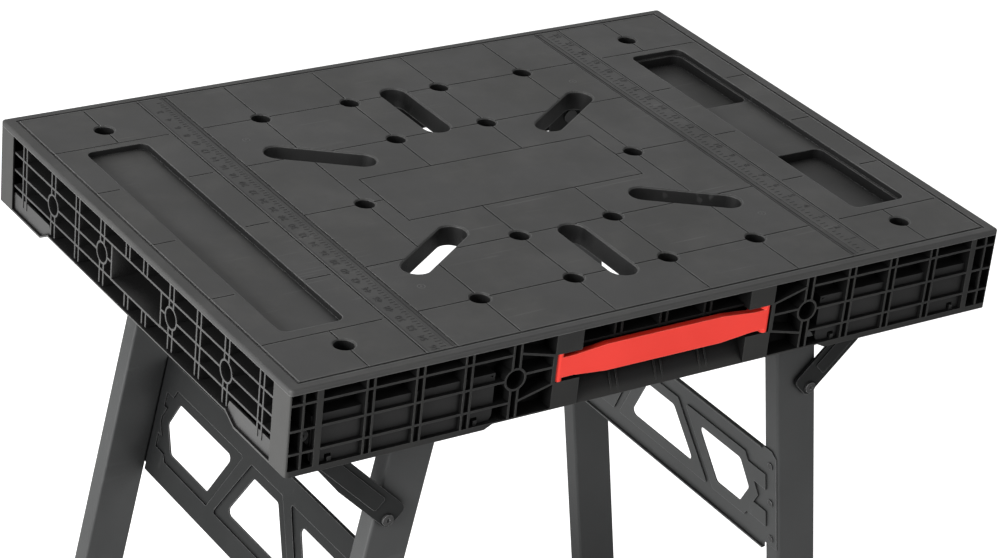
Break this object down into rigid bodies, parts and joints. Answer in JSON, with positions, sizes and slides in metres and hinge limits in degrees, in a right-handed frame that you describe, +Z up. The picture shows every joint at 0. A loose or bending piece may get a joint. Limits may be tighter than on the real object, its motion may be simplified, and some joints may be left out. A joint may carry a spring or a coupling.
{
  "type": "folding workbench",
  "caption": "Folding workbench with a ribbed moulded top, clamp slots, dog holes, tool trays, a carrying handle and two steel leg pairs that fold flat under the top.",
  "frame": {"origin": "on the floor, under the centre of the worktop", "axes": "+X along the length of the top, towards the end with the two deep pockets; -Y towards the side with the carrying handle; +Z up"},
  "size_m": [0.824, 0.6, 0.78],
  "materials": {
    "moulded_top": "matte",
    "red_grip": "satin",
    "dark_steel": "satin powder coat",
    "zinc": "bright zinc",
    "nylon": "matte",
    "foot_rubber": "matte"
  },
  "bodies": {
    "worktop": {"worktop_deck": "moulded_top", "deck_ribs": "moulded_top", "front_side": "moulded_top", "back_side": "moulded_top", "left_end": "moulded_top", "right_end": "moulded_top", "front_left_bracket": "dark_steel", "back_left_bracket": "dark_steel", "front_right_bracket": "dark_steel", "back_right_bracket": "dark_steel", "bracket_screws": "zinc", "stay_pivot_rivets": "zinc"},
    "handle": {"carry_handle": "red_grip"},
    "left_pins": {"left_pivot_pins": "zinc", "left_pivot_spacers": "nylon"},
    "left_leg_frame": {"left_front_leg": "dark_steel", "left_back_leg": "dark_steel", "left_brace_panel": "dark_steel", "left_panel_rivets": "zinc", "left_front_foot": "foot_rubber", "left_back_foot": "foot_rubber"},
    "left_stays": {"left_front_stay": "dark_steel", "left_back_stay": "dark_steel", "left_stay_rivets": "zinc"},
    "right_pins": {"right_pivot_pins": "zinc", "right_pivot_spacers": "nylon"},
    "right_leg_frame": {"right_front_leg": "dark_steel", "right_back_leg": "dark_steel", "right_brace_panel": "dark_steel", "right_panel_rivets": "zinc", "right_front_foot": "foot_rubber", "right_back_foot": "foot_rubber"},
    "right_stays": {"right_front_stay": "dark_steel", "right_back_stay": "dark_steel", "right_stay_rivets": "zinc"}
  },
  "joints": [
    {"name": "handle_pull", "type": "slide", "parent": "worktop", "child": "handle", "axis": [0, -1, 0], "range_m": [0, 0.014]},
    {"name": "left_pin_slide", "type": "slide", "parent": "worktop", "child": "left_pins", "axis": [-1, 0, 0], "range_m": [0, 0.1519]},
    {"name": "left_fold", "type": "hinge", "parent": "left_pins", "child": "left_leg_frame", "pos_m": [-0.21551, 0, 0.7305], "axis": [0, -1, 0], "range_deg": [0, 100]},
    {"name": "left_stay_swing", "type": "hinge", "parent": "worktop", "child": "left_stays", "pos_m": [-0.3744, 0, 0.705], "axis": [0, -1, 0], "range_deg": [0, 48.6]},
    {"name": "right_pin_slide", "type": "slide", "parent": "worktop", "child": "right_pins", "axis": [1, 0, 0], "range_m": [0, 0.1]},
    {"name": "right_fold", "type": "hinge", "parent": "right_pins", "child": "right_leg_frame", "pos_m": [0.21562, 0, 0.7299], "axis": [0, 1, 0], "range_deg": [0, 66]},
    {"name": "right_stay_swing", "type": "hinge", "parent": "worktop", "child": "right_stays", "pos_m": [0.3744, 0, 0.705], "axis": [0, 1, 0], "range_deg": [0, 32]}
  ],
  "couplings": [
    {"joint": "left_pin_slide", "follows": "left_fold", "m_per_rad": 0.086981},
    {"joint": "left_stay_swing", "follows": "left_fold", "ratio": 0.48503},
    {"joint": "right_pin_slide", "follows": "right_fold", "m_per_rad": 0.086704},
    {"joint": "right_stay_swing", "follows": "right_fold", "ratio": 0.48459}
  ]
}
